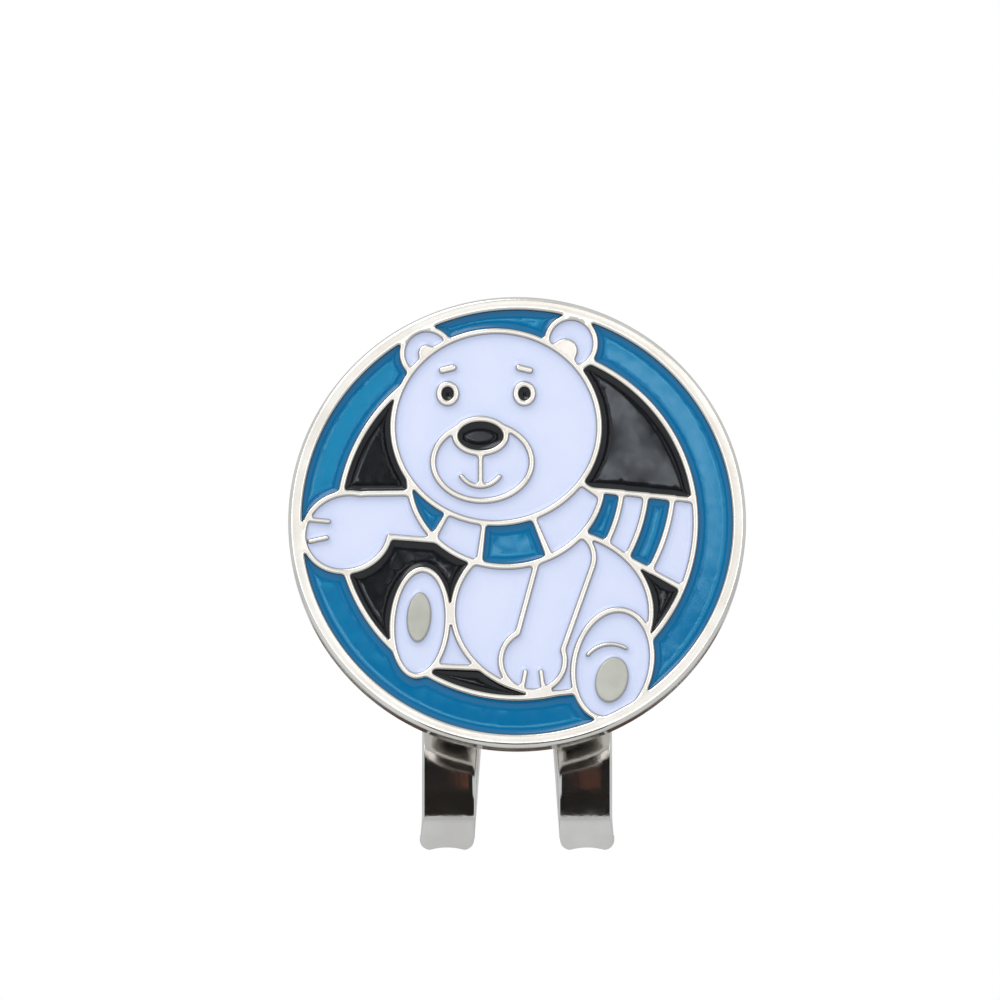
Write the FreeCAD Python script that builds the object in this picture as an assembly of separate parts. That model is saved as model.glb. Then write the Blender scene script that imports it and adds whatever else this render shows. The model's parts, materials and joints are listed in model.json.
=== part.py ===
import FreeCAD, Part
import math
import os

from FreeCAD import Vector

# Golf ball marker held by a magnet on a cap clip, in millimetres.
# Frame: X to the right of the marker's face, Y from the face towards the wearer's side, Z up.
# Origin: on the marker's axis, on the flat back of the magnet pocket, where a cap's brim bears.
# The marker is drawn lying on its back, heights measured from the origin plane, and then stood up.

# Marker blank: a struck steel disc
MARKER_R = 12.5
MARKER_THICK = 1.8
RIM_W = 0.76
LINE_BELOW_RIM = 0.08
CELL_DEPTH = 0.45
FILL_THICK = 0.30
RIM_ROUND = 0.25
BACK_ROUND = 0.20

# Raised lines between the enamel cells
LINE_W = 0.36
INNER_RING_R = 9.75
SMALLEST_CELL_AREA = 0.08

# Clip: one stamping of spring steel, with a round seat, a U-bend and a two-tongue fork
SHEET = 0.9
SEAT_R = 11.5
BRIM_GAP = 3.2
BEND_Z = 9.0
FORK_W = 10.4
RELIEF_W = 1.0
RELIEF_DEPTH = 1.3
LEAN_DEG = 6.94
CREASE_R = 14.0
CREASE_END_DEG = 3.5
LIP_R = 2.4
LIP_END_DEG = 45.0
STRAIGHT_LEN = 21.89
SLOT_TOP_Z = 3.0
SLOT_TOP_HALF = 0.9
SLOT_TIP_HALF = 2.35
TIP_FLARE = 0.12
TIP_CORNER_R = 0.55

# Magnet, in a pocket drawn backwards out of the seat
MAGNET_R = 5.0
MAGNET_THICK = 1.2
MAGNET_ROUND = 0.12
GLUE = 0.10
GLUE_BELOW_FACE = 0.15
POCKET_FLOOR = 0.6
POCKET_WALL = 0.8
POCKET_ROUND = 0.35

# Small gaps that let pieces of different bodies move
FACE_GAP = 0.05
SPLIT_GAP = 0.05

SEAT_FACE_H = POCKET_FLOOR + GLUE + MAGNET_THICK
MARKER_BACK_H = SEAT_FACE_H + FACE_GAP
RIM_H = MARKER_BACK_H + MARKER_THICK
LINE_H = RIM_H - LINE_BELOW_RIM
CELL_FLOOR_H = LINE_H - CELL_DEPTH
INSIDE_RIM_R = MARKER_R - RIM_W
HALF_LINE = LINE_W / 2
SHEET_HALF = SHEET / 2


# ---------------------------------------------------------------- flat shapes, drawn in X and Y

def flat_face(edges):
    return Part.Face(Part.Wire(edges))


def ellipse(x, y, half_w, half_h, tilt=0.0):
    """An ellipse as a face. tilt turns it anticlockwise, in degrees."""
    if abs(half_w - half_h) < 1e-6:
        return flat_face([Part.Circle(Vector(x, y, 0), Vector(0, 0, 1), half_w).toShape()])
    outline = Part.Ellipse(Vector(0, 0, 0), max(half_w, half_h), min(half_w, half_h)).toShape()
    turn = tilt if half_w > half_h else tilt + 90
    outline.rotate(Vector(0, 0, 0), Vector(0, 0, 1), turn)
    outline.translate(Vector(x, y, 0))
    return flat_face([outline])


def polar(x, y, radius, degrees):
    """The point at this radius and angle from x, y."""
    a = math.radians(degrees)
    return Vector(x + radius * math.cos(a), y + radius * math.sin(a), 0)


def limb(x1, y1, r1, x2, y2, r2):
    """Two round ends joined by their common tangents."""
    along = math.degrees(math.atan2(y2 - y1, x2 - x1))
    spread = math.degrees(math.acos((r1 - r2) / math.hypot(x2 - x1, y2 - y1)))
    a1, a2 = polar(x1, y1, r1, along + spread), polar(x1, y1, r1, along - spread)
    b1, b2 = polar(x2, y2, r2, along + spread), polar(x2, y2, r2, along - spread)
    return flat_face([
        Part.Arc(a1, polar(x1, y1, r1, along + 180), a2).toShape(),
        Part.LineSegment(a2, b2).toShape(),
        Part.Arc(b2, polar(x2, y2, r2, along), b1).toShape(),
        Part.LineSegment(b1, a1).toShape(),
    ])


def fan(x, y, r_in, r_out, start, end):
    """The part of a ring round x, y between two radii and two angles."""
    middle = (start + end) / 2
    inner_a, inner_b = polar(x, y, r_in, start), polar(x, y, r_in, end)
    outer_a, outer_b = polar(x, y, r_out, start), polar(x, y, r_out, end)
    return flat_face([
        Part.Arc(outer_a, polar(x, y, r_out, middle), outer_b).toShape(),
        Part.LineSegment(outer_b, inner_b).toShape(),
        Part.Arc(inner_b, polar(x, y, r_in, middle), inner_a).toShape(),
        Part.LineSegment(inner_a, outer_a).toShape(),
    ])


def joined(*faces):
    """Overlapping faces as one."""
    return faces[0].fuse(list(faces[1:])).removeSplitter()


def grown_fan(x, y, r_in, r_out, start, end, grow):
    """A fan moved out by grow on all four sides."""
    spread = math.degrees(grow / ((r_in + r_out) / 2))
    return fan(x, y, r_in - grow, r_out + grow, start - spread, end + spread)


# ------------------------------------------------- the picture: a plain seated bear with a scarf
# Each function returns one shape, moved out on all sides by grow, or in if grow is negative.

HEAD = (-1.15, 5.25)
FACE_X = -1.9


def head(grow):
    return ellipse(*HEAD, 5.65 + grow, 5.35 + grow)


def left_ear(grow):
    return ellipse(-4.95, 9.35, 1.35 + grow, 1.35 + grow)


def right_ear(grow):
    return ellipse(2.95, 9.9, 1.35 + grow, 1.45 + grow)


def snout(grow):
    return ellipse(FACE_X, 3.3, 2.7 + grow, 2.15 + grow)


def nose(grow):
    return ellipse(FACE_X - 0.1, 4.75, 1.4 + grow, 0.95 + grow)


def eye(side, grow):
    return ellipse(FACE_X + 0.2 + side * 2.1, 7.1, 0.48 + grow, 0.54 + grow)


def left_eye(grow):
    return eye(-1, grow)


def right_eye(grow):
    return eye(1, grow)


def torso(grow):
    return ellipse(1.9, -5.0, 5.4 + grow, 4.5 + grow)


def left_leg(grow):
    return limb(0.5, -6.5, 1.7 + grow, -4.6, -6.65, 1.35 + grow)


def left_sole(grow):
    return ellipse(-5.3, -5.6, 1.5 + grow, 2.95 + grow, -4)


def right_sole(grow):
    return ellipse(5.2, -7.9, 2.1 + grow, 3.05 + grow, -12)


def raised_arm(grow):
    arm = limb(-2.6, 0.2, 1.4 + grow, -8.2, 0.4, 1.15 + grow)
    paw = ellipse(-9.3, -0.6, 2.4 + grow, 2.15 + grow, 20)
    return joined(arm, paw)


def lowered_arm(grow):
    arm = limb(2.7, -2.0, 1.5 + grow, 1.15, -7.0, 1.3 + grow)
    paw = ellipse(0.85, -7.7, 1.75 + grow, 1.7 + grow)
    return joined(arm, paw)


def scarf_band(start, end):
    """A stripe of the scarf under the chin, between two angles round the head's centre."""
    def shape(grow):
        whole = ellipse(-0.6, 2.3, 5.3 + grow, 4.8 + grow)
        return whole.common(grown_fan(*HEAD, 4.0, 9.0, start, end, grow))
    return shape


def scarf_tail(r_in, r_out):
    """A stripe of the scarf's tail, between two distances from its knot, ending at the ring."""
    def shape(grow):
        ground = ellipse(0, 0, INNER_RING_R + grow, INNER_RING_R + grow)
        return ground.common(grown_fan(-2.0, 2.4, r_in, r_out, -29, -6, grow))
    return shape


BAND_ANGLES = [203, 241, 263, 292, 326]
TAIL_RADII = [6.2, 7.75, 9.1, 10.55, 13.0]

# Areas that stay bare metal inside a cell.

def inner_ears():
    return [ellipse(-4.95, 9.35, 0.5, 0.5), ellipse(2.65, 9.5, 0.7, 0.7)]


def brows():
    left = limb(FACE_X - 2.2, 8.4, 0.2, FACE_X - 1.6, 8.55, 0.2)
    right = limb(FACE_X + 2.0, 8.55, 0.2, FACE_X + 2.6, 8.4, 0.2)
    return [left, right]


def mouth():
    smile = fan(FACE_X - 0.1, 3.2, 1.1, 1.4, 208, 332)
    lip_line = limb(FACE_X - 0.1, 3.9, 0.15, FACE_X - 0.1, 1.95, 0.15)
    return [smile, lip_line]


def raised_paw_lines():
    return [limb(-11.3, 0.1, 0.15, -10.3, 0.0, 0.15), limb(-11.3, -1.1, 0.15, -10.4, -0.9, 0.15)]


def lowered_paw_lines():
    return [limb(0.3, -9.1, 0.15, 0.45, -8.3, 0.15), limb(1.4, -9.1, 0.15, 1.3, -8.3, 0.15)]


def left_pad():
    return [ellipse(-5.35, -5.3, 0.68, 1.4, -4)]


def right_pad():
    return [ellipse(5.15, -8.75, 0.9, 1.3, -14), fan(5.1, -8.4, 1.5, 1.75, 55, 145)]


def nothing():
    return []


# Bottom to top: what comes later covers what comes earlier, with a raised line round it.
SCARF_TAIL_STRIPES = [scarf_tail(a, b) for a, b in zip(TAIL_RADII, TAIL_RADII[1:])]
SCARF_BAND_STRIPES = [scarf_band(a, b) for a, b in zip(BAND_ANGLES, BAND_ANGLES[1:])]
LAYERS = [
    ("enamel_scarf_tail_blue", [SCARF_TAIL_STRIPES[0], SCARF_TAIL_STRIPES[2]], nothing),
    ("enamel_scarf_tail_white", [SCARF_TAIL_STRIPES[1], SCARF_TAIL_STRIPES[3]], nothing),
    ("enamel_ears", [left_ear, right_ear], inner_ears),
    ("enamel_left_leg", [left_leg], nothing),
    ("enamel_torso", [torso], nothing),
    ("enamel_left_sole", [left_sole], left_pad),
    ("enamel_raised_arm", [raised_arm], raised_paw_lines),
    ("enamel_lowered_arm", [lowered_arm], lowered_paw_lines),
    ("enamel_right_sole", [right_sole], right_pad),
    ("enamel_scarf_band_blue", [SCARF_BAND_STRIPES[0], SCARF_BAND_STRIPES[2]], nothing),
    ("enamel_scarf_band_white", [SCARF_BAND_STRIPES[1], SCARF_BAND_STRIPES[3]], nothing),
    ("enamel_head", [head], brows),
    ("enamel_snout", [snout], mouth),
    ("enamel_nose", [nose], nothing),
    ("enamel_eyes", [left_eye, right_eye], nothing),
]

# The ring and the ground are cut up by the bear: each stretch is named by a point inside it.
RING_STRETCHES = {
    "enamel_ring_top": polar(0, 0, 11.3, 97),
    "enamel_ring_right": polar(0, 0, 10.8, 10),
    "enamel_ring_bottom": polar(0, 0, 10.8, 250),
    "enamel_ring_left": polar(0, 0, 10.8, 150),
}
GROUND_STRETCHES = {
    "enamel_ground_upper_right": Vector(6.5, 4.5, 0),
    "enamel_ground_upper_left": Vector(-7.6, 3.4, 0),
    "enamel_ground_lower_left": Vector(-5.0, -2.0, 0),
    "enamel_ground_lower_right": Vector(8.0, -4.6, 0),
    "enamel_ground_bottom": Vector(-2.0, -8.9, 0),
}


# ------------------------------------------------------------------------------ the marker

def upright(shape):
    """Stands a shape drawn flat on its edge, so that its top faces along -Y."""
    stood = shape.copy()
    stood.rotate(Vector(0, 0, 0), Vector(1, 0, 0), 90)
    return stood


def slab(face, low, high):
    """A flat face pulled up into a solid between two heights."""
    base = face.copy()
    base.translate(Vector(0, 0, low))
    return base.extrude(Vector(0, 0, high - low))


def disc(radius, low, high):
    return Part.makeCylinder(radius, high - low, Vector(0, 0, low))


def big_enough(faces):
    return [f for f in faces if f.Area > SMALLEST_CELL_AREA]


def stretch_at(area, point):
    """The one face of an area that holds this point."""
    spot = Part.Vertex(point)
    return min(area.Faces, key=lambda f: f.distToShape(spot)[0])


def cells():
    """Every enamel cell as {node name: [flat faces]}, cut back by what covers it."""
    found = {}
    inside_rim = ellipse(0, 0, INSIDE_RIM_R, INSIDE_RIM_R)
    cover = []
    for name, shapes, bare_metal in reversed(LAYERS):
        faces = []
        for shape in shapes:
            cell = shape(-HALF_LINE).common(inside_rim)
            covered = cover + bare_metal()
            faces += big_enough(cell.cut(covered).Faces if covered else cell.Faces)
        cover += [shape(HALF_LINE) for shape in shapes]
        found[name] = faces
    ring = inside_rim.cut([ellipse(0, 0, INNER_RING_R + HALF_LINE, INNER_RING_R + HALF_LINE)] + cover)
    ground = ellipse(0, 0, INNER_RING_R - HALF_LINE, INNER_RING_R - HALF_LINE).cut(cover)
    for area, stretches in ((ring, RING_STRETCHES), (ground, GROUND_STRETCHES)):
        for name, point in stretches.items():
            found[name] = [stretch_at(area, point)]
    return found


def rounded(solid, radius, wanted):
    """Rounds the edges that the test picks."""
    return solid.makeFillet(radius, [e for e in solid.Edges if wanted(e)])


def is_circle_at(height, radius):
    """Tests for a full circle of this radius at this height."""
    def test(edge):
        curve = edge.Curve
        return (isinstance(curve, Part.Circle) and abs(curve.Radius - radius) < 1e-6
                and abs(curve.Center.z - height) < 1e-6)
    return test


def marker_blank(cell_faces):
    """The struck disc: a rim, lines just below it, and a pocket under every cell."""
    blank = disc(MARKER_R, MARKER_BACK_H, RIM_H)
    blank = rounded(blank, RIM_ROUND, is_circle_at(RIM_H, MARKER_R))
    blank = rounded(blank, BACK_ROUND, is_circle_at(MARKER_BACK_H, MARKER_R))
    blank = blank.cut(disc(INSIDE_RIM_R, LINE_H, RIM_H + 1))
    return blank.cut([slab(f, CELL_FLOOR_H, RIM_H) for f in cell_faces])


def enamel(faces):
    """Cured enamel that stands a little below the lines round it."""
    return Part.makeCompound([slab(f, CELL_FLOOR_H, CELL_FLOOR_H + FILL_THICK) for f in faces])


# -------------------------------------------------------------------------------- the clip

def heading(degrees):
    """The way down the fork: 0 is straight down, and positive leans back, away from the seat."""
    a = math.radians(degrees)
    return Vector(0, math.sin(a), -math.cos(a))


def backward(degrees):
    """At right angles to the heading, out of the fork's back."""
    a = math.radians(degrees)
    return Vector(0, math.cos(a), math.sin(a))


BEND_Y = -(SEAT_FACE_H - SHEET) + BRIM_GAP / 2
HINGE = Vector(0, BEND_Y + BRIM_GAP / 2 + SHEET_HALF, BEND_Z - SPLIT_GAP - SHEET_HALF)


def fork_stations():
    """Points on the middle of the sheet with the lean there: top, crease start, lip start, end."""
    crease = HINGE + heading(-LEAN_DEG) * STRAIGHT_LEN
    crease_centre = crease + backward(-LEAN_DEG) * CREASE_R
    lip = crease_centre - backward(CREASE_END_DEG) * CREASE_R
    lip_centre = lip + backward(CREASE_END_DEG) * LIP_R
    end = lip_centre - backward(LIP_END_DEG) * LIP_R
    middle_lean = (CREASE_END_DEG - LEAN_DEG) / 2
    lip_lean = (CREASE_END_DEG + LIP_END_DEG) / 2
    return {
        "top": (HINGE, -LEAN_DEG),
        "crease": (crease, -LEAN_DEG),
        "crease_middle": (crease_centre - backward(middle_lean) * CREASE_R, middle_lean),
        "lip": (lip, CREASE_END_DEG),
        "lip_middle": (lip_centre - backward(lip_lean) * LIP_R, lip_lean),
        "end": (end, LIP_END_DEG),
    }


def fork_side_view():
    """The fork's edge-on outline: the sheet's two sides, its round top and its square end."""
    stations = fork_stations()

    def side(name, offset):
        point, lean = stations[name]
        return point + backward(lean) * offset

    def run(offset):
        return [
            Part.LineSegment(side("top", offset), side("crease", offset)).toShape(),
            Part.Arc(*[side(n, offset) for n in ("crease", "crease_middle", "lip")]).toShape(),
            Part.Arc(*[side(n, offset) for n in ("lip", "lip_middle", "end")]).toShape(),
        ]

    crown = HINGE - heading(-LEAN_DEG) * SHEET_HALF
    front, back = -SHEET_HALF, SHEET_HALF
    edges = run(front) + run(back)
    edges.append(Part.LineSegment(side("end", front), side("end", back)).toShape())
    edges.append(Part.Arc(side("top", front), crown, side("top", back)).toShape())
    return Part.Face(Part.Wire(Part.__sortEdges__(edges)))


def blunted(points, radii):
    """A closed outline through the points, with a round corner wherever its radius isn't 0."""
    edges, starts, ends = [], [], []
    for i, (corner, radius) in enumerate(zip(points, radii)):
        to_last = (points[i - 1] - corner).normalize()
        to_next = (points[(i + 1) % len(points)] - corner).normalize()
        half_angle = to_last.getAngle(to_next) / 2
        cut_back = radius / math.tan(half_angle)
        starts.append(corner + to_last * cut_back)
        ends.append(corner + to_next * cut_back)
        if radius:
            inward = (to_last + to_next).normalize()
            middle = corner + inward * (radius / math.sin(half_angle) - radius)
            edges.append(Part.Arc(starts[i], middle, ends[i]).toShape())
    for i in range(len(points)):
        edges.append(Part.LineSegment(ends[i - 1], starts[i]).toShape())
    return Part.Face(Part.Wire(Part.__sortEdges__(edges)))


def fork_front_view(low_z, high_z):
    """The fork's outline from the front: a bridge, a round-ended slot and two flared tongues."""
    half = FORK_W / 2
    flare_z = fork_stations()["lip"][0].z
    right = [
        (half, high_z, 0),
        (half, flare_z, 0),
        (half + TIP_FLARE, low_z, TIP_CORNER_R),
        (SLOT_TIP_HALF, low_z, TIP_CORNER_R),
        (SLOT_TOP_HALF, SLOT_TOP_Z, 0),
    ]
    left = [(-x, z, radius) for x, z, radius in reversed(right)]
    points = [Vector(x, 0, z) for x, z, _ in right + left]
    outline = blunted(points, [radius for _, _, radius in right + left])
    slot_end = Part.Circle(Vector(0, 0, SLOT_TOP_Z), Vector(0, 1, 0), SLOT_TOP_HALF).toShape()
    return outline.cut(flat_face([slot_end]))


def clip_fork():
    """The moving half of the stamping: a bridge and two tongues with flared lips."""
    side = fork_side_view()
    box = side.BoundBox
    width = FORK_W + 2
    side.translate(Vector(-width / 2, 0, 0))
    sheet = side.extrude(Vector(width, 0, 0))
    plan = fork_front_view(box.ZMin, box.ZMax + 1)
    plan.translate(Vector(0, box.YMin - 1, 0))
    return sheet.common(plan.extrude(Vector(0, box.YLength + 2, 0)))


def through_plate(low_x, low_y, width, height):
    """A block that cuts a rectangle out of the seat's sheet."""
    return Part.makeBox(width, height, SHEET + 2, Vector(low_x, low_y, SEAT_FACE_H - SHEET - 1))


def seat_plate():
    """The round seat with its magnet pocket. It is cut off straight where the neck bends back,
    and a small notch on each side of the neck keeps the bend from tearing the sheet."""
    above_bend = through_plate(-SEAT_R, BEND_Z, 2 * SEAT_R, SEAT_R)
    notch_z = BEND_Z - RELIEF_DEPTH
    left_notch = through_plate(-FORK_W / 2 - RELIEF_W, notch_z, RELIEF_W, RELIEF_DEPTH)
    right_notch = through_plate(FORK_W / 2, notch_z, RELIEF_W, RELIEF_DEPTH)
    plate = disc(SEAT_R, SEAT_FACE_H - SHEET, SEAT_FACE_H).cut([above_bend, left_notch, right_notch])
    boss_r = MAGNET_R + GLUE + POCKET_WALL
    boss = disc(boss_r, 0, SEAT_FACE_H - SHEET_HALF)
    boss = rounded(boss, POCKET_ROUND, is_circle_at(0, boss_r))
    return plate.fuse(boss).cut(disc(MAGNET_R + GLUE, POCKET_FLOOR, SEAT_FACE_H + 1))


def u_bend():
    """The half ring that carries the sheet over from the seat to the fork."""
    centre = Vector(-FORK_W / 2, BEND_Y, BEND_Z)
    inner_r = BRIM_GAP / 2
    outer_r = inner_r + SHEET
    ring = Part.makeCylinder(outer_r, FORK_W, centre, Vector(1, 0, 0))
    ring = ring.cut(Part.makeCylinder(inner_r, FORK_W, centre, Vector(1, 0, 0)))
    top_half = Part.makeBox(FORK_W, 2 * outer_r, outer_r, centre - Vector(0, outer_r, 0))
    return ring.common(top_half)


def clip_seat():
    """The fixed half of the stamping: seat, magnet pocket and U-bend."""
    return upright(seat_plate()).fuse(u_bend()).removeSplitter()


def magnet():
    low = POCKET_FLOOR + GLUE
    body = disc(MAGNET_R, low, SEAT_FACE_H)
    return rounded(body, MAGNET_ROUND, lambda edge: isinstance(edge.Curve, Part.Circle))


def magnet_adhesive():
    """A thin cup of epoxy under and round the magnet."""
    cup = disc(MAGNET_R + GLUE, POCKET_FLOOR, SEAT_FACE_H - GLUE_BELOW_FACE)
    return cup.cut(disc(MAGNET_R, POCKET_FLOOR + GLUE, SEAT_FACE_H))


# ------------------------------------------------------------------------------------ files

def save(shape, node):
    shape.exportStep("parts/" + node + ".step")
    print(f"{node}: {len(shape.Solids)} solids, {shape.Volume:.3f} mm3, valid {shape.isValid()}")


os.makedirs("parts", exist_ok=True)
enamel_cells = cells()
all_cell_faces = [face for faces in enamel_cells.values() for face in faces]
save(upright(marker_blank(all_cell_faces)), "marker_blank")
for node_name, node_faces in enamel_cells.items():
    save(upright(enamel(node_faces)), node_name)
save(clip_seat(), "clip_seat")
save(clip_fork(), "clip_fork")
save(upright(magnet()), "magnet")
save(upright(magnet_adhesive()), "magnet_adhesive")
print("hinge axis through", HINGE)
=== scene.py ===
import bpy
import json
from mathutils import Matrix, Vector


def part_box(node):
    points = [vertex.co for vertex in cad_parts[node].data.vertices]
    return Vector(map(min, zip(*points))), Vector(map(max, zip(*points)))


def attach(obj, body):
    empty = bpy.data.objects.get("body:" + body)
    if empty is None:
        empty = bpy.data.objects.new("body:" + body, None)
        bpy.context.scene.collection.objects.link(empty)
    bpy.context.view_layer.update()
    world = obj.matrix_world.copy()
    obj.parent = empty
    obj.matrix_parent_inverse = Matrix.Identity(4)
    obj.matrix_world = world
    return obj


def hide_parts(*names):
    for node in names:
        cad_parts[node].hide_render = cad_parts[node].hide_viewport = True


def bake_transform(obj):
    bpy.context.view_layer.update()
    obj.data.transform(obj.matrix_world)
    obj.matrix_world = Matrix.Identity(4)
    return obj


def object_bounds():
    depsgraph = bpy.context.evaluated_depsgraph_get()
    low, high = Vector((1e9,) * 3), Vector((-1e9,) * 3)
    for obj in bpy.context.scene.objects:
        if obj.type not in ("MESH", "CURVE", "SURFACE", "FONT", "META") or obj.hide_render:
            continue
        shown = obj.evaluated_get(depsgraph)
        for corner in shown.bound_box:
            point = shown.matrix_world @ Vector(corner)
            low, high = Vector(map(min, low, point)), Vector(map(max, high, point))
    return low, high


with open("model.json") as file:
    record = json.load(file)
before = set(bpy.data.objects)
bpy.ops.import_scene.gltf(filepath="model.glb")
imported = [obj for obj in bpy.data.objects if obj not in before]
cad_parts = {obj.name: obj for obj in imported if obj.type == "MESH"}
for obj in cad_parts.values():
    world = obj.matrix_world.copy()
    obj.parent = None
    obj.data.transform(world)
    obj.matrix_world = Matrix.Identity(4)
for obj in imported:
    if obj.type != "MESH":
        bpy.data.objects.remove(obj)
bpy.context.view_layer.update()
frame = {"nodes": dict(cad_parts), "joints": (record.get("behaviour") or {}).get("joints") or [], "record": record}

import json
import math

import bpy
import numpy as np
from mathutils import Vector, kdtree
from mathutils.geometry import delaunay_2d_cdt

# Golf ball marker on a magnetic cap clip. Shapes are worked out in millimetres and stored in metres.
# Flat shapes have X to the right and Z up; height is measured from the origin plane towards -Y.
MM = 0.001
TURN = 2 * math.pi
QUARTER = math.pi / 2

# Marker
LINE_BELOW_RIM = 0.08
RIM_WIDTH = 0.76
LINE_SHOULDER = 0.15
RIM_SHOULDER = 0.22
RIM_CROWN = 0.05
RIM_STEP_IN = 0.15
RIM_STEP_WIDTH = 0.20
# How far out onto the lines the painted dark shade next to the cells reaches
LINE_EDGE_SHADE_REACH = 0.05
BACK_ROUND = 0.20
BACK_RING_RADII = (8.0, 4.0)
WALL_HOLD = 0.04
SIDE_DEPTH = 0.03
EDGE_POINTS = 1000
POINT_SPACING = 0.075
CORNER_SOFTENING = 4
METAL_GRID = (0.22, 0.19)
METAL_GRID_FROM_LINE = 0.04
METAL_GRID_FROM_RIM = 0.08

# Enamel: it climbs the lines round it, and lies lower in the middle of its cell
ENAMEL_SINK = 0.12
MENISCUS_REACH = 0.20
BOWL_SINK = 0.075
BOWL_REACH = 1.2
RELAX_TIMES = 16
RELAX_FROM = 0.35
# How far in from the lines the enamel is painted darker: painted shade beside the raised lines, with some of the
# deeper tone where it thins
ENAMEL_SHADE_REACH = 0.30
# Rings of points inside a cell: how far in they lie, and every how many outline points
ENAMEL_RINGS = ((0.03, 1), (0.07, 1), (0.12, 1), (0.19, 2), (0.28, 3), (0.40, 4), (0.56, 5))
ENAMEL_GRID = (0.45, 0.39)
ENAMEL_GRID_FROM = 0.75

# Clip, with the same shape as in the CAD
SHEET = 0.9
SEAT_SIDE_ROUND = 0.16
SLOT_SIDE_ROUND = 0.42
TIP_ROUND = 0.2
RELIEF_W = 1.0
RELIEF_DEPTH = 1.3
RELIEF_CORNER = 0.25
SHOULDER_TURN = 0.03
FORK_W = 10.4
LEAN = math.radians(6.94)
CREASE_R = 14.0
CREASE_TURN = math.radians(10.44)
LIP_R = 2.4
LIP_TURN = math.radians(41.5)
STRAIGHT_LEN = 21.89
HINGE_EASE = 1.0
SLOT_TOP_Z = 3.0
SLOT_TOP_HALF = 0.9
SLOT_TIP_HALF = 2.35
SLOT_ROUND_REACH = 2.0
SLOT_TOP_ROUND = 0.336
TIP_FLARE = 0.12
TIP_CORNER_R = 0.55
TIP_HOLLOW = 0.14
TONGUE_CROWN = 0.02
TONGUE_CROWN_START = 4.0
POCKET_WALL = 0.8
POCKET_MOUTH_ROUND = 0.12
POCKET_FLOOR_ROUND = 0.05
POCKET_WALL_LEAN = 0.01
BOSS_ROUND = 0.35
BOSS_ROOT_ROUND = 0.4
BOSS_WALL_LEAN = 0.02
FAR_R = 20
MAGNET_EDGE_ROUND = 0.14
SPRING_SPACING = 0.12
SEAT_SPACING = 0.15
CUT_SPACING = 0.4
SEAT_GRID = (0.9, 0.8)
SEAT_GRID_FROM_RING = 0.15
SHEET_GRID_FROM_ROUND = 0.1
PLATE_RING_POINTS = 240
MAGNET_RING_POINTS = 160

ARC_STEPS = 5
SHARP_EDGE = math.radians(40)


# ------------------------------------------------------------------------ flat outlines

NO_POINTS = np.zeros((0, 2))


def mesh_points(node):
    """A CAD node's vertices, in millimetres."""
    return np.array([v.co for v in frame["nodes"][node].data.vertices], float) / MM


def outlines(node):
    """The closed outlines of a CAD enamel node's top, with enamel on the left of each."""
    level_within = 0.005
    points = mesh_points(node)
    top = points[:, 1].min()
    names, places = {}, []
    edges = set()
    for face in frame["nodes"][node].data.polygons:
        corners = [points[i] for i in face.vertices]
        if max(c[1] for c in corners) > top + level_within:
            continue
        ids = []
        for c in corners:
            key = (round(c[0], 3), round(c[2], 3))
            if key not in names:
                names[key] = len(places)
                places.append((c[0], c[2]))
            ids.append(names[key])
        area = sum(places[a][0] * places[b][1] - places[b][0] * places[a][1]
                   for a, b in zip(ids, ids[1:] + ids[:1]))
        if area < 0:
            ids.reverse()
        edges.update(zip(ids, ids[1:] + ids[:1]))
    follow = {a: b for a, b in edges if (b, a) not in edges and a != b}
    found = []
    while follow:
        start = min(follow)
        loop = [start]
        while follow.get(loop[-1]) is not None:
            loop.append(follow.pop(loop[-1]))
        found.append(np.array([places[i] for i in loop[:-1]]))
    return found


def smoothed(corners, spacing):
    """Close, even points on a closed outline: curved where it turns gently, sharp elsewhere."""
    sharp_turn = 0.45
    straight_ratio = 2.0
    step = np.roll(corners, -1, 0) - corners
    length = np.linalg.norm(step, axis=1)
    ahead = step / length[:, None]
    behind, last_length = np.roll(ahead, 1, 0), np.roll(length, 1)
    sharp = np.arccos(np.clip((ahead * behind).sum(1), -1, 1)) > sharp_turn
    tangent = behind * length[:, None] + ahead * last_length[:, None]
    tangent[length > straight_ratio * last_length] = ahead[length > straight_ratio * last_length]
    tangent[last_length > straight_ratio * length] = behind[last_length > straight_ratio * length]
    tangent /= np.linalg.norm(tangent, axis=1)[:, None]
    result = []
    for i in range(len(corners)):
        j = (i + 1) % len(corners)
        leave, arrive = tangent[i], tangent[j]
        if sharp[i]:
            leave = ahead[i] if sharp[j] else 2 * (ahead[i] @ arrive) * ahead[i] - arrive
        if sharp[j]:
            arrive = ahead[i] if sharp[i] else 2 * (ahead[i] @ leave) * ahead[i] - leave
        count = max(1, round(length[i] / spacing))
        t = (np.arange(count) / count)[:, None]
        result.append(
            (2 * t**3 - 3 * t**2 + 1) * corners[i] + (t**3 - 2 * t**2 + t) * length[i] * leave
            + (3 * t**2 - 2 * t**3) * corners[j] + (t**3 - t**2) * length[i] * arrive)
    return np.vstack(result)


def softened(points, times):
    """Takes the sharpness off a closed outline's corners."""
    for _ in range(times):
        points = points / 2 + (np.roll(points, 1, 0) + np.roll(points, -1, 0)) / 4
    return points


def right_normals(points):
    """Normals on the right of a closed outline."""
    along = np.roll(points, -1, 0) - np.roll(points, 1, 0)
    normals = np.column_stack([along[:, 1], -along[:, 0]])
    return normals / np.linalg.norm(normals, axis=1)[:, None]


def tree_of(points):
    tree = kdtree.KDTree(len(points))
    for i, (x, z) in enumerate(points):
        tree.insert((x, z, 0), i)
    tree.balance()
    return tree


def nearest(tree, points):
    """Index of and distance to the nearest point of the tree, for each point."""
    found = [tree.find((x, z, 0))[1:] for x, z in points]
    return np.array([f[0] for f in found], int), np.array([f[1] for f in found], float)


def shoulder(distance, radius):
    """How far a rounded edge of this radius lies below its top, at a distance in from the edge."""
    short = np.clip(radius - distance, 0, radius)
    return radius - np.sqrt(np.maximum(radius**2 - short**2, 0))


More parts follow.
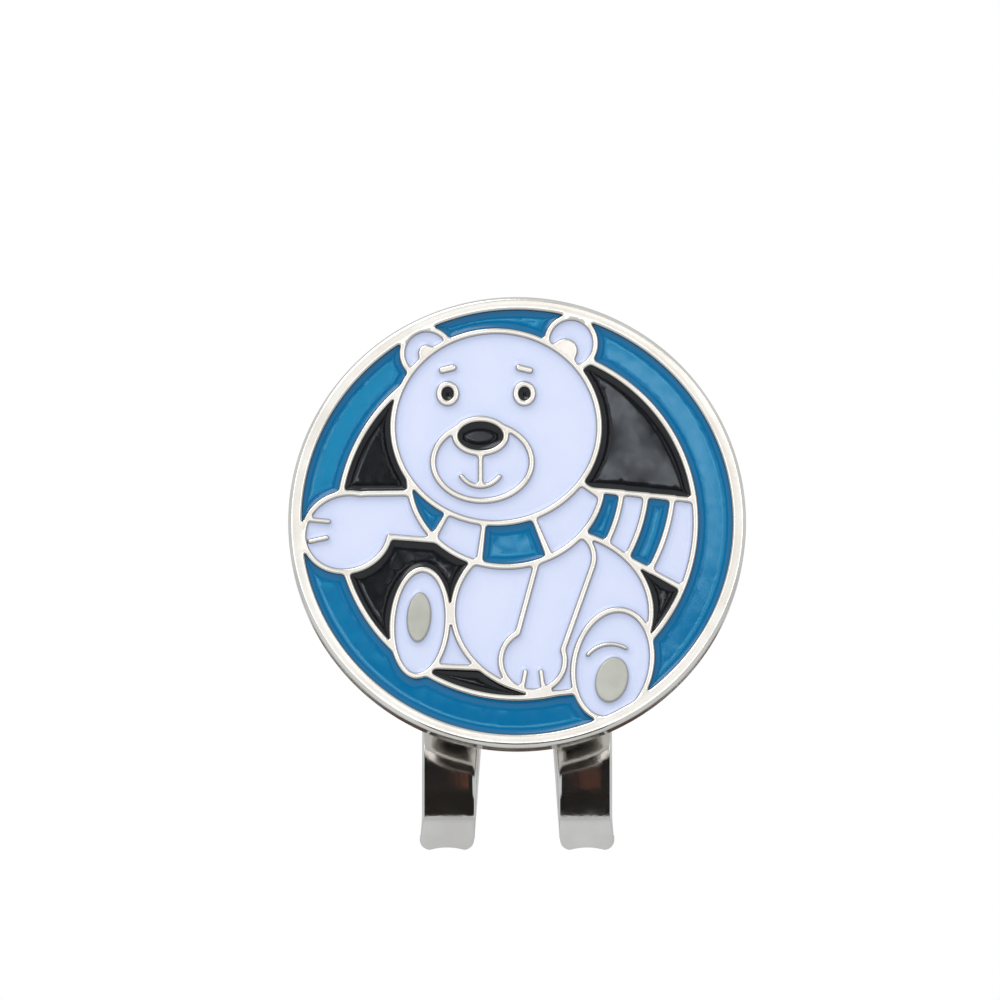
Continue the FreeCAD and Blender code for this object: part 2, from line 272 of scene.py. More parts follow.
def arc_insets(radius):
    """Distances in from an edge at which a rounded edge turns by equal angles."""
    return [radius * (1 - math.cos(QUARTER * k / ARC_STEPS)) for k in range(1, ARC_STEPS + 1)]


def circle(radius, count):
    """Even points on a circle round the marker's axis."""
    a = TURN * np.arange(count) / count
    return np.column_stack([radius * np.cos(a), radius * np.sin(a)])


def arc_points(x, y, radius, start, end, steps=ARC_STEPS):
    """Points on an arc round x, y between two angles in degrees."""
    a = np.radians(np.linspace(start, end, steps + 1))
    return np.column_stack([x + radius * np.cos(a), y + radius * np.sin(a)])


def grid(low, high, spacing):
    """Staggered rows of points that fill a rectangle; spacing is along a row and between rows."""
    spacing_x, spacing_z = spacing
    rows = []
    for k, z in enumerate(np.arange(low[1], high[1], spacing_z)):
        xs = np.arange(low[0] + (k % 2) * spacing_x / 2, high[0], spacing_x)
        rows.append(np.column_stack([xs, np.full(len(xs), z)]))
    return np.vstack(rows)


def inside(points, loops):
    """Which points lie inside the area between closed outlines."""
    odd = np.zeros(len(points), bool)
    for loop in loops:
        near = np.flatnonzero(((points > loop.min(0)) & (points < loop.max(0))).all(1))
        x, z = points[near].T
        crossed = np.zeros(len(near), bool)
        for (ax, az), (bx, bz) in zip(loop, np.roll(loop, -1, 0)):
            if az != bz:
                spans = (az > z) != (bz > z)
                crossed ^= spans & (x < ax + (z - az) * (bx - ax) / (bz - az))
        odd[near] ^= crossed
    return odd


def without_doubles(points):
    """Leaves out points that fall on an earlier one."""
    doubled_within = 0.012
    _, first = np.unique(np.round(points / doubled_within), axis=0, return_index=True)
    return points[np.sort(first)]


def triangulated(loops, fill):
    """Triangles between closed outlines. The outlines' points come first, in order."""
    moved_by, no_area = 1e-4, 1e-9
    fill = without_doubles(fill) if len(fill) else fill
    points = np.vstack(loops + [fill]) if len(fill) else np.vstack(loops)
    edges, start = [], 0
    for loop in loops:
        count = len(loop)
        edges += [(start + i, start + (i + 1) % count) for i in range(count)]
        start += count
    made = delaunay_2d_cdt([Vector(p) for p in points], edges, [], 0, 1e-7)
    placed = np.array([v[:] for v in made[0]])
    if len(placed) != len(points) or np.abs(placed - points).max() > moved_by:
        raise ValueError("the triangulation moved or added points")
    faces = np.array([f for f in made[2]])
    corners = points[faces]
    a, b = corners[:, 1] - corners[:, 0], corners[:, 2] - corners[:, 0]
    turn = a[:, 0] * b[:, 1] - a[:, 1] * b[:, 0]
    faces = faces[np.abs(turn) > no_area]
    turn = turn[np.abs(turn) > no_area]
    faces[turn < 0] = faces[turn < 0][:, ::-1]
    return points, faces[inside(points[faces].mean(1), loops)]


def thinned(points, keep_from, tree, share=0.97):
    """Drops the points that are nearer to the tree's outlines than they should be."""
    distance = nearest(tree, points)[1]
    return points[distance >= keep_from * share]


# ------------------------------------------------------------------------------- pieces

def new_piece(name, vertices, faces, body, replaced):
    """Makes a smooth-shaded mesh from vertices in millimetres, and ties it to the frame."""
    mesh = bpy.data.meshes.new(name)
    mesh.from_pydata((np.asarray(vertices) * MM).tolist(), [], [list(map(int, f)) for f in faces])
    mesh.validate()
    mesh.shade_smooth()
    mesh.set_sharp_from_angle(angle=SHARP_EDGE)
    piece = bpy.data.objects.new(name, mesh)
    bpy.context.scene.collection.objects.link(piece)
    if body:
        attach(piece, body)
    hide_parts(*replaced)
    return piece


def store(piece, name, values):
    """Keeps a number on every vertex, for the materials."""
    attribute = piece.data.attributes.new(name, "FLOAT", "POINT")
    attribute.data.foreach_set("value", values.astype(np.float32))


def stood(points, heights):
    """Flat points raised to their heights above the origin plane."""
    return np.column_stack([points[:, 0], -np.asarray(heights), points[:, 1]])


def loop_ranges(loops):
    """The numbers of each outline's points, where the outlines follow one another."""
    start = 0
    for loop in loops:
        yield range(start, start + len(loop))
        start += len(loop)


def walls(ring, upper, lower):
    """Faces between two copies of a closed outline; upper and lower are the copies' offsets."""
    ids = list(ring)
    pairs = zip(ids, ids[1:] + ids[:1])
    return [(a + upper, a + lower, b + lower, b + upper) for a, b in pairs]


# ------------------------------------------------------------------------------- marker

blank_low, blank_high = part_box("marker_blank")
MARKER_R = blank_high.x / MM
RIM_H = -blank_low.y / MM
MARKER_BACK_H = -blank_high.y / MM
LINE_H = RIM_H - LINE_BELOW_RIM
INSIDE_RIM_R = MARKER_R - RIM_WIDTH

enamel_nodes = sorted(n for n in frame["nodes"] if n.startswith("enamel_"))
enamel_low, enamel_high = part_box("enamel_head")
ENAMEL_H = -enamel_low.y / MM
CELL_FLOOR_H = -enamel_high.y / MM
cell_loops = {
    node: [softened(smoothed(loop, POINT_SPACING), CORNER_SOFTENING) for loop in outlines(node)]
    for node in enamel_nodes
}
all_cell_loops = [loop for node in enamel_nodes for loop in cell_loops[node]]
cell_edge_tree = tree_of(np.vstack(all_cell_loops))


def metal_height(points, distance):
    """Height of the struck metal, which rounds off towards every cell and the marker's edge."""
    radius = np.hypot(points[:, 0], points[:, 1])
    ramp = np.clip((radius - INSIDE_RIM_R + RIM_STEP_IN) / RIM_STEP_WIDTH, 0, 1)
    base = LINE_H + (RIM_H - LINE_H) * ramp * ramp * (3 - 2 * ramp)
    middle = (INSIDE_RIM_R + MARKER_R) / 2
    crown = RIM_CROWN * np.clip(np.abs(radius - middle) / (RIM_WIDTH / 2), 0, 1) ** 2 * ramp
    rim_drop = shoulder(MARKER_R - radius, RIM_SHOULDER)
    return base - crown - shoulder(distance, LINE_SHOULDER) - rim_drop


def struck_face(edge):
    """The metal's front: points and triangles between the marker's edge and the cells' outlines."""
    loops = [edge] + [loop[::-1] for loop in all_cell_loops]
    fill = []
    for loop in all_cell_loops:
        normals = right_normals(loop)
        for inset in arc_insets(LINE_SHOULDER):
            fill.append(thinned(loop + normals * inset, inset, cell_edge_tree))
    for inset in arc_insets(RIM_SHOULDER):
        fill.append(circle(MARKER_R - inset, EDGE_POINTS))
    broad = grid((-MARKER_R, -MARKER_R), (MARKER_R, MARKER_R), METAL_GRID)
    broad = broad[np.hypot(*broad.T) < MARKER_R - RIM_SHOULDER - METAL_GRID_FROM_RIM]
    fill.append(thinned(broad, LINE_SHOULDER + METAL_GRID_FROM_LINE, cell_edge_tree, 1.0))
    fill = np.vstack(fill)
    return triangulated(loops, fill[inside(fill, loops)])


def cell_hollows(outline_id, next_id):
    """Vertices and faces of every cell's floor and of the walls down to it. outline_id is the number
    of the first outline vertex in the metal's front, and next_id that of the first new vertex."""
    vertices, faces = [], []
    for node in enamel_nodes:
        floor_points, floor_faces = triangulated(cell_loops[node], NO_POINTS)
        vertices.append(stood(floor_points, np.full(len(floor_points), CELL_FLOOR_H)))
        faces += [[i + next_id for i in f] for f in floor_faces]
        low = next_id
        next_id += len(floor_points)
        for loop in cell_loops[node]:
            count = len(loop)
            # The front's outlines run the other way round
            top = outline_id + count - 1
            for i in range(count):
                j = (i + 1) % count
                faces.append([top - i, top - j, low + j, low + i])
            outline_id += count
            low += count
    return np.vstack(vertices), faces


def side_and_back(edge, next_id):
    """Vertices and faces ring by ring from the front's edge down the side to the middle of the back.
    next_id is the number of the first new vertex."""
    wall_top = RIM_H - RIM_CROWN - RIM_SHOULDER - WALL_HOLD
    wall_foot = MARKER_BACK_H + BACK_ROUND + WALL_HOLD
    rows = [(MARKER_R, wall_top), (MARKER_R, wall_foot)]
    rows += arc_points(MARKER_R - BACK_ROUND, MARKER_BACK_H + BACK_ROUND, BACK_ROUND, 0, -90).tolist()
    rows += [(radius, MARKER_BACK_H) for radius in BACK_RING_RADII]
    vertices, faces = [], []
    last = range(len(edge))
    for radius, height in rows:
        vertices.append(stood(edge * (radius / MARKER_R), np.full(len(edge), height)))
        ring = range(next_id, next_id + len(edge))
        next_id += len(edge)
        for i in range(len(edge)):
            j = (i + 1) % len(edge)
            faces.append([last[i], ring[i], ring[j], last[j]])
        last = ring
    vertices.append(np.array([[0.0, -MARKER_BACK_H, 0.0]]))
    for i in range(len(edge)):
        faces.append([last[i], next_id, last[(i + 1) % len(edge)]])
    return np.vstack(vertices), faces


def marker_metal():
    """The struck disc as one closed mesh: lines, rim, cell walls and floors, side and back."""
    edge = circle(MARKER_R, EDGE_POINTS)
    points, top_faces = struck_face(edge)
    distance = nearest(cell_edge_tree, points)[1]
    hollow_vertices, hollow_faces = cell_hollows(len(edge), len(points))
    side_vertices, side_faces = side_and_back(edge, len(points) + len(hollow_vertices))
    vertices = np.vstack([stood(points, metal_height(points, distance)), hollow_vertices, side_vertices])
    faces = [list(f) for f in top_faces] + hollow_faces + side_faces
    piece = new_piece("marker_metal", vertices, faces, "marker", ["marker_blank"])
    # Where the lines meet the cells their colour is darkened: painted shade, standing in for the dark reflections
    # along the lines' edges
    line_shade_mask = np.zeros(len(vertices))
    line_shade_mask[:len(points)] = np.exp(-distance / LINE_EDGE_SHADE_REACH)
    store(piece, "edge", line_shade_mask)
    return piece, len(top_faces)


def relaxed(heights, faces, fixed, times):
    """Heights averaged with their neighbours', so that no crease is left along the middle of a cell."""
    sides = np.vstack([faces[:, [0, 1]], faces[:, [1, 2]], faces[:, [2, 0]]])
    pairs = np.unique(np.sort(sides, axis=1), axis=0)
    here, there = np.concatenate([pairs, pairs[:, ::-1]]).T
    neighbours = np.bincount(here, minlength=len(heights))
    for _ in range(times):
        mean = np.bincount(here, heights[there], len(heights)) / neighbours
        mean[:fixed] = heights[:fixed]
        heights = (heights + mean) / 2
    return heights


def enamel_fill(node):
    """The enamel of one node: a hollow-topped fill in each of its cells."""
    loops = cell_loops[node]
    tree = tree_of(np.vstack(loops))
    fill = []
    for inset, stride in ENAMEL_RINGS:
        for loop in loops:
            ring = (loop - right_normals(loop) * inset)[::stride]
            fill.append(thinned(ring, inset, tree))
    stacked = np.vstack(loops)
    broad = grid(stacked.min(0), stacked.max(0), ENAMEL_GRID)
    fill.append(thinned(broad, ENAMEL_GRID_FROM, tree, 1.0))
    fill = np.vstack(fill)
    fill = fill[inside(fill, loops)]
    points, top_faces = triangulated(loops, fill)
    distance = nearest(tree, points)[1]
    distance[:len(stacked)] = 0
    heights = ENAMEL_H - ENAMEL_SINK * (1 - np.exp(-distance / MENISCUS_REACH))
    heights -= BOWL_SINK * (1 - np.exp(-distance / BOWL_REACH))
    far_in = np.clip((distance - RELAX_FROM) / RELAX_FROM, 0, 1)
    heights += far_in * (relaxed(heights, top_faces, len(stacked), RELAX_TIMES) - heights)
    low_points, low_faces = triangulated(loops, NO_POINTS)
    floor = stood(low_points, np.full(len(low_points), CELL_FLOOR_H))
    vertices = np.vstack([stood(points, heights), floor])
    faces = [list(f) for f in top_faces]
    faces += [[i + len(points) for i in f[::-1]] for f in low_faces]
    for ring in loop_ranges(loops):
        faces += walls(ring, 0, len(points))
    piece = new_piece(node.replace("enamel_", "fill_"), vertices, faces, "marker", [node])
    # The enamel's colour darkens towards the lines round it: painted shade
    enamel_shade_mask = np.ones(len(vertices))
    enamel_shade_mask[:len(points)] = np.exp(-distance / ENAMEL_SHADE_REACH)
    store(piece, "edge", enamel_shade_mask)
    return piece


# --------------------------------------------------------------------------------- clip

seat_low, seat_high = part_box("clip_seat")
SEAT_FACE_H = -seat_low.y / MM
SEAT_R = -seat_low.z / MM
BEND_OUTER_R = (seat_high.y - seat_low.y) / MM / 2
BEND_MID_R = BEND_OUTER_R - SHEET / 2
BEND_Z = seat_high.z / MM - BEND_OUTER_R
MIDDLE_H = SEAT_FACE_H - SHEET / 2


def spring_path():
    """Distance along the middle of the sheet, its y, z and heading there, and where its runs end."""
    hinge = next(j for j in frame["joints"] if j["name"] == "fork_open")["pos_m"]
    drop = BEND_Z - hinge[2] / MM
    runs = [
        (math.pi * BEND_MID_R, math.pi),
        (drop - HINGE_EASE / 2, 0.0),
        (HINGE_EASE, LEAN),
        (STRAIGHT_LEN - HINGE_EASE / 2, 0.0),
        (CREASE_R * CREASE_TURN, -CREASE_TURN),
        (LIP_R * LIP_TURN, -LIP_TURN),
    ]
    step = 0.01
    along, heading = [0.0], [0.0]
    for length, turn in runs:
        count = max(1, round(length / step))
        along += [along[-1] + length * (k + 1) / count for k in range(count)]
        heading += [heading[-1] + turn * (k + 1) / count for k in range(count)]
    along, heading = np.array(along), np.array(heading)
    middle, gaps = (heading[1:] + heading[:-1]) / 2, np.diff(along)
    y = -MIDDLE_H + np.concatenate([[0], np.cumsum(np.sin(middle) * gaps)])
    z = BEND_Z + np.concatenate([[0], np.cumsum(np.cos(middle) * gaps)])
    return along, y, z, heading, np.cumsum([r[0] for r in runs])


PATH_U, PATH_Y, PATH_Z, PATH_HEADING, run_ends = spring_path()
BEND_END, _, HINGE_END, STRAIGHT_END, LIP_START, PATH_END = run_ends


def bent(points, offset):
    """Flat points of the spring's pattern put on its path, offset towards the bend's outside."""
    y = np.interp(points[:, 1], PATH_U, PATH_Y)
    z = np.interp(points[:, 1], PATH_U, PATH_Z)
    heading = np.interp(points[:, 1], PATH_U, PATH_HEADING)
    return np.column_stack([points[:, 0], y - np.cos(heading) * offset, z + np.sin(heading) * offset])


def along_at_height(z):
    """How far along the path the fork is at this height."""
    fork = PATH_U > BEND_END
    return float(np.interp(-z, -PATH_Z[fork], PATH_U[fork]))


def slot_half(u):
    """Half the slot's width at a distance along the path."""
    z = np.interp(u, PATH_U, PATH_Z)
    return SLOT_TOP_HALF + (SLOT_TIP_HALF - SLOT_TOP_HALF) * (SLOT_TOP_Z - z) / (SLOT_TOP_Z - PATH_Z[-1])


def side_x(u):
    """Half the width over both tongues at a distance along the path: the lips flare a little."""
    return FORK_W / 2 + TIP_FLARE * np.clip((u - LIP_START) / (PATH_END - LIP_START), 0, 1)


def spring_outline():
    """The pattern's outline with the radius to which each of its points is rounded.
    The first and last points are the ends of the straight cut that meets the seat."""
    corner_u = PATH_END - TIP_CORNER_R
    outer_x, inner_x = FORK_W / 2 + TIP_FLARE - TIP_CORNER_R, SLOT_TIP_HALF + TIP_CORNER_R
    centre, reach = (outer_x + inner_x) / 2, (outer_x - inner_x) / 2
    slot_u = along_at_height(SLOT_TOP_Z)
    down = np.arange(0, corner_u, SPRING_SPACING)
    across = np.linspace(outer_x, inner_x, 22)[1:-1]
    hollow = TIP_HOLLOW * (1 - ((across - centre) / reach) ** 2)
    up = np.arange(corner_u - SPRING_SPACING, slot_u, -SPRING_SPACING)
    share = np.clip((LIP_START - up) / SLOT_ROUND_REACH, 0, 1)
    stretches = [
        (np.column_stack([side_x(down), down]), SEAT_SIDE_ROUND),
        (arc_points(outer_x, corner_u, TIP_CORNER_R, 0, 90, 7), TIP_ROUND),
        (np.column_stack([across, PATH_END - hollow]), TIP_ROUND),
        (arc_points(inner_x, corner_u, TIP_CORNER_R, 90, 180, 7), TIP_ROUND),
        (np.column_stack([slot_half(up), up]), TIP_ROUND + (SLOT_SIDE_ROUND - TIP_ROUND) * share),
        (arc_points(0, slot_u, SLOT_TOP_HALF, 0, -90, 13), SLOT_TOP_ROUND),
    ]
    right = np.vstack([points for points, _ in stretches])
    radii = np.concatenate([np.full(len(points), radius) for points, radius in stretches])
    left = right[:-1][::-1] * (-1, 1)
    return np.vstack([right, left]), np.concatenate([radii, radii[:-1][::-1]])


def open_normals(points):
    """Normals on the right of an outline whose ends are joined by a straight cut."""
    along = np.gradient(points, axis=0)
    normals = np.column_stack([along[:, 1], -along[:, 0]])
    return normals / np.linalg.norm(normals, axis=1)[:, None]


def sheet_pattern(edge, radii, fill):
    """Triangles of a sheet with rounded edges. The straight cut from the outline's end to its start
    stays square. Returns points, faces, half the thickness lost at each point, and how many points
    are on the outline."""
    ring_share = 0.95
    cut_length = np.linalg.norm(edge[0] - edge[-1])
    count = round(cut_length / CUT_SPACING)
    share = np.arange(1, count) / count
    cut = edge[-1] + share[:, None] * (edge[0] - edge[-1])
    loop = np.vstack([edge, cut])
    tree = tree_of(edge)
    area = loop[:, 0] @ np.roll(loop[:, 1], -1) - loop[:, 1] @ np.roll(loop[:, 0], -1)
    inward = -open_normals(edge) * np.sign(area)
    rings = []
    for k in range(1, ARC_STEPS + 1):
        inset = radii * (1 - math.cos(QUARTER * k / ARC_STEPS))
        ring = edge + inward * inset[:, None]
        ring[[0, -1], 1] = edge[[0, -1], 1]
        rings.append(thinned(ring, inset, tree, ring_share))
    fill = np.vstack(rings + [thinned(fill, radii.max() + SHEET_GRID_FROM_ROUND, tree, 1.0)])
    cut_direction = (edge[0] - edge[-1]) / cut_length
    offset = fill - edge[-1]
    on_cut = np.abs(offset[:, 0] * cut_direction[1] - offset[:, 1] * cut_direction[0]) < 1e-6
    extra = fill[on_cut]
    order = np.argsort((np.vstack([cut, extra]) - edge[-1]) @ cut_direction)
    cut = np.vstack([cut, extra])[order]
    loop = np.vstack([edge, cut])
    fill = fill[~on_cut]
    fill = fill[inside(fill, [loop])]
    points, faces = triangulated([loop], fill)
    index, distance = nearest(tree, points)
    lost = shoulder(distance, radii[index])
    return points, faces, lost, len(loop)


def two_sided(points, faces, front, back, rim_count):
    """A closed mesh from one pattern and the vertices of its two sides."""
    count = len(points)
    made = [list(f) for f in faces] + [[i + count for i in f[::-1]] for f in faces]
    made += walls(range(rim_count), 0, count)
    return np.vstack([front, back]), made


def tongue_crown(points):
    """How much thinner the sheet is away from the middle of each tongue: they are slightly rounded."""
    middle = (FORK_W / 2 + SLOT_TIP_HALF) / 2
    half = (FORK_W / 2 - SLOT_TIP_HALF) / 2
    off = np.clip((np.abs(points[:, 0]) - middle) / half, -1, 1)
    started = np.clip((points[:, 1] - HINGE_END) / TONGUE_CROWN_START, 0, 1)
    return TONGUE_CROWN * off**2 * started


def clip_spring():
    """The U-bend and the fork as one strip of sheet."""
    edge, radii = spring_outline()
    # Each stretch's start, end and spacing between rows: closer where the sheet bends
    stretches = ((0, BEND_END, 0.11), (BEND_END, HINGE_END, 0.11), (HINGE_END, STRAIGHT_END, 0.6),
                 (STRAIGHT_END, PATH_END, 0.08))
    rows = [grid((-FORK_W / 2, a + step / 2), (FORK_W / 2, b), (0.5, step)) for a, b, step in stretches]
    points, faces, lost, rim_count = sheet_pattern(edge, radii, np.vstack(rows))
    lost = lost + tongue_crown(points)
    outer = bent(points, SHEET / 2 - lost)
    inner = bent(points, lost - SHEET / 2)
    vertices, made = two_sided(points, faces, outer, inner, rim_count)
    piece = new_piece("clip_spring", vertices, made, None, ["clip_fork"])
    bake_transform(piece)
    return piece


def seat_outline():
    """The seat's circle and its neck, with a round-bottomed bend relief on each side of the neck.
    It runs anticlockwise from the neck's left end, so the cut is at the top of the neck."""
    half, notch_r, corner = FORK_W / 2, RELIEF_W / 2, RELIEF_CORNER
    notch_x, notch_z = half + notch_r, BEND_Z - RELIEF_DEPTH + notch_r
    wall_x = half + RELIEF_W
    corner_x, corner_z = wall_x + corner, BEND_Z - corner
    neck_z = np.linspace(BEND_Z, notch_z, 7)[:-1]
    up_z = np.linspace(notch_z, corner_z, 5)[1:-1]
    seat_turn = math.asin(BEND_Z / SEAT_R)
    rounded_turn = seat_turn - SHOULDER_TURN
    meeting = np.array([SEAT_R * math.cos(seat_turn), BEND_Z])
    before = meeting - (corner, 0)
    after = SEAT_R * np.array([math.cos(rounded_turn), math.sin(rounded_turn)])
    t = np.linspace(0, 1, 5)[:, None]
    sweep = np.linspace(rounded_turn, -QUARTER, round((seat_turn + QUARTER) * SEAT_R / SEAT_SPACING))[1:]
    right = np.vstack([
        np.column_stack([np.full(len(neck_z), half), neck_z]),
        arc_points(notch_x, notch_z, notch_r, 180, 360, 15),
        np.column_stack([np.full(len(up_z), wall_x), up_z]),
        arc_points(corner_x, corner_z, corner, 180, 90),
        (1 - t)**2 * before + 2 * t * (1 - t) * meeting + t**2 * after,
        np.column_stack([SEAT_R * np.cos(sweep), SEAT_R * np.sin(sweep)]),
    ])
    left = right[:-1][::-1] * (-1, 1)
    return np.vstack([right, left])[::-1]


magnet_low, magnet_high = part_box("magnet")
MAGNET_R = magnet_high.x / MM
POCKET_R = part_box("magnet_adhesive")[1].x / MM
POCKET_FLOOR_H = -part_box("magnet_adhesive")[1].y / MM
SEAT_BACK_H = SEAT_FACE_H - SHEET
BOSS_R = POCKET_R + POCKET_WALL

# The seat's front, radius by radius: the pocket's floor, its wall and rounded mouth, then flat
mouth_r = POCKET_R + POCKET_MOUTH_ROUND + POCKET_WALL_LEAN
pocket_mouth = arc_points(mouth_r, SEAT_FACE_H - POCKET_MOUTH_ROUND, POCKET_MOUTH_ROUND, 180, 90)
POCKET_PROFILE = np.vstack([
    [(0, POCKET_FLOOR_H), (POCKET_R - POCKET_FLOOR_ROUND, POCKET_FLOOR_H)],
    [(POCKET_R, POCKET_FLOOR_H + POCKET_FLOOR_ROUND)],
    pocket_mouth,
    [(FAR_R, SEAT_FACE_H)],
]).T

# The seat's back: the drawn pocket stands out of it
boss_round = arc_points(BOSS_R - BOSS_ROUND - BOSS_WALL_LEAN, BOSS_ROUND, BOSS_ROUND, 270, 355)
root_r = BOSS_R + BOSS_ROOT_ROUND + BOSS_WALL_LEAN
boss_root = arc_points(root_r, SEAT_BACK_H - BOSS_ROOT_ROUND, BOSS_ROOT_ROUND, 178, 90)
BOSS_PROFILE = np.vstack([[(0, 0.0)], boss_round, boss_root, [(FAR_R, SEAT_BACK_H)]]).T


def clip_plate():
    """The round seat with its drawn magnet pocket."""
    edge = seat_outline()
    radii = np.full(len(edge), SEAT_SIDE_ROUND)
    broad = grid((-SEAT_R, -SEAT_R), (SEAT_R, BEND_Z), SEAT_GRID)
    profile_radii = np.concatenate([POCKET_PROFILE[0][1:-1], BOSS_PROFILE[0][1:-1]])
    ring_radii = sorted(set(np.round(profile_radii, 5)))
    for radius in ring_radii:
        broad = broad[np.abs(np.hypot(*broad.T) - radius) > SEAT_GRID_FROM_RING]
    fill = np.vstack([broad] + [circle(radius, PLATE_RING_POINTS) for radius in ring_radii])
    points, faces, lost, rim_count = sheet_pattern(edge, radii, fill)
    from_axis = np.hypot(*points.T)
    front = stood(points, np.interp(from_axis, *POCKET_PROFILE) - lost)
    back = stood(points, np.interp(from_axis, *BOSS_PROFILE) + lost)
    vertices, made = two_sided(points, faces, front, back, rim_count)
    return new_piece("clip_plate", vertices, made, "clip", ["clip_seat"])


def turned(name, profile, count, body, replaced):
    """A closed solid of revolution about the marker's axis, from a profile of (radius, height)
    that runs from the axis in front to the axis behind."""
    ring = circle(1.0, count)
    vertices, faces = [[0.0, -profile[0][1], 0.0]], []
    for radius, height in profile[1:-1]:
        vertices += stood(ring * radius, np.full(count, height)).tolist()
    vertices.append([0.0, -profile[-1][1], 0.0])
    rows = len(profile) - 2
    for i in range(count):
        j = (i + 1) % count
        faces.append([0, 1 + i, 1 + j])
        for r in range(rows - 1):
            a, b = 1 + r * count, 1 + (r + 1) * count
            faces.append([a + i, b + i, b + j, a + j])
        last = 1 + (rows - 1) * count
        faces.append([last + i, len(vertices) - 1, last + j])
    return new_piece(name, np.array(vertices), faces, body, replaced)


def magnet_disc():
    """A plated disc magnet with rounded edges."""
    front, back, edge = -magnet_low.y / MM, -magnet_high.y / MM, MAGNET_EDGE_ROUND
    top = arc_points(MAGNET_R - edge, front - edge, edge, 90, 0)
    bottom = arc_points(MAGNET_R - edge, back + edge, edge, 0, -90)
    profile = [(0, front), (MAGNET_R / 2, front)] + top.tolist() + bottom.tolist() + [(0, back)]
    return turned("magnet_disc", profile, MAGNET_RING_POINTS, "clip", ["magnet"])


# ---------------------------------------------------------------------------- materials

# Sizes of the patches in millimetres, and the range that most of a noise's values lie in
NOISE_RANGE = (0.3, 0.7)
METAL_TONE_RANGE = (0.35, 0.65)
METAL_TONE_MM = 2.5
METAL_POLISH_MM = 0.9
ENAMEL_WAVE_MM = 1.6
ENAMEL_POLISH_MM = 0.7
ENAMEL_CLOUD = 0.18


def new_material(name):
    """A node material, with its nodes, links, shader and texture coordinate in the object's own space."""
    material = bpy.data.materials.new(name)
    material.use_nodes = True
    nodes, links = material.node_tree.nodes, material.node_tree.links
    shader = nodes["Principled BSDF"]
    place = nodes.new("ShaderNodeTexCoord").outputs["Object"]
    return material, nodes, links, shader, place


def noise(nodes, links, place, feature_mm, detail=3.0, roughness=0.55):
    """Noise whose lumps are about this size."""
    node = nodes.new("ShaderNodeTexNoise")
    node.inputs["Scale"].default_value = 1 / (feature_mm * MM)
    node.inputs["Detail"].default_value = detail
    node.inputs["Roughness"].default_value = roughness
    links.new(place, node.inputs["Vector"])
    return node.outputs["Fac"]


def remap(nodes, links, value, old_range, new_range):
    """A value stretched from its old range to the new one, and held within that."""
    node = nodes.new("ShaderNodeMapRange")
    for socket, number in zip(("From Min", "From Max", "To Min", "To Max"), old_range + new_range):
        node.inputs[socket].default_value = number
    links.new(value, node.inputs["Value"])
    return node.outputs["Result"]


def blended(nodes, links, factor, first, second):
    """A mix of two colours."""
    node = nodes.new("ShaderNodeMix")
    node.data_type = "RGBA"
    links.new(factor, node.inputs["Factor"])
    for socket, colour in ((node.inputs[6], first), (node.inputs[7], second)):
        if isinstance(colour, tuple):
            socket.default_value = (*colour, 1)
        else:
            links.new(colour, socket)
    return node.outputs[2]


def bump(nodes, links, shader, height, depth_mm):
    """Gives the shader a surface that rises by this depth where the height is 1."""
    node = nodes.new("ShaderNodeBump")
    node.inputs["Distance"].default_value = depth_mm * MM
    node.inputs["Strength"].default_value = 1.0
    links.new(height, node.inputs["Height"])
    links.new(node.outputs["Normal"], shader.inputs["Normal"])


def edge_value(nodes):
    """The number stored on the vertices: 1 where enamel and metal meet, falling to 0 away from there. It places
    the painted shade on both sides of that meeting.
    """
    node = nodes.new("ShaderNodeAttribute")
    node.attribute_name = "edge"
    return node.outputs["Fac"]


def metal_material(name, light, dark, roughness, grain, painted_edge_shade=None):
    """Plated metal: slow changes of tone and polish, a fine grain, and painted shade, a darker colour, where
    enamel meets it.
    roughness is its lowest and highest value, and grain is its size and depth in millimetres."""
    material, nodes, links, shader, place = new_material(name)
    shader.inputs["Metallic"].default_value = 1.0
    tone = remap(nodes, links, noise(nodes, links, place, METAL_TONE_MM), METAL_TONE_RANGE, (0, 1))
    colour = blended(nodes, links, tone, light, dark)
    # Painted shade: the colour is darkened where the metal meets the enamel
    if painted_edge_shade:
        colour = blended(nodes, links, edge_value(nodes), colour, painted_edge_shade)
    links.new(colour, shader.inputs["Base Color"])
    polish = noise(nodes, links, place, METAL_POLISH_MM, 4.0)
    links.new(remap(nodes, links, polish, NOISE_RANGE, roughness), shader.inputs["Roughness"])
    grain_mm, grain_depth_mm = grain
    bump(nodes, links, shader, noise(nodes, links, place, grain_mm, 5.0, 0.6), grain_depth_mm)
    return material


def enamel_material(name, middle, rim, roughness, wave_mm):
    """Baked enamel: glossy, a little wavy, and darker against the lines: painted shade beside the raised lines,
    with a deeper tone where it thins.
    """
    material, nodes, links, shader, place = new_material(name)
    wave = noise(nodes, links, place, ENAMEL_WAVE_MM)
    cloud = remap(nodes, links, wave, NOISE_RANGE, (0, ENAMEL_CLOUD))
    total = nodes.new("ShaderNodeMath")
    total.operation = "ADD"
    total.use_clamp = True
    links.new(edge_value(nodes), total.inputs[0])
    links.new(cloud, total.inputs[1])
    # The second colour is painted shade, darker where the enamel meets the lines
    links.new(blended(nodes, links, total.outputs[0], middle, rim), shader.inputs["Base Color"])
    polish = noise(nodes, links, place, ENAMEL_POLISH_MM)
    gloss = remap(nodes, links, polish, NOISE_RANGE, (roughness * 0.8, roughness * 1.2))
    links.new(gloss, shader.inputs["Roughness"])
    bump(nodes, links, shader, noise(nodes, links, place, ENAMEL_WAVE_MM, 1.0), wave_mm)
    return material


def paint(piece, *materials):
    """Gives a piece these materials in place of its own."""
    piece.data.materials.clear()
    for material in materials:
        piece.data.materials.append(material)
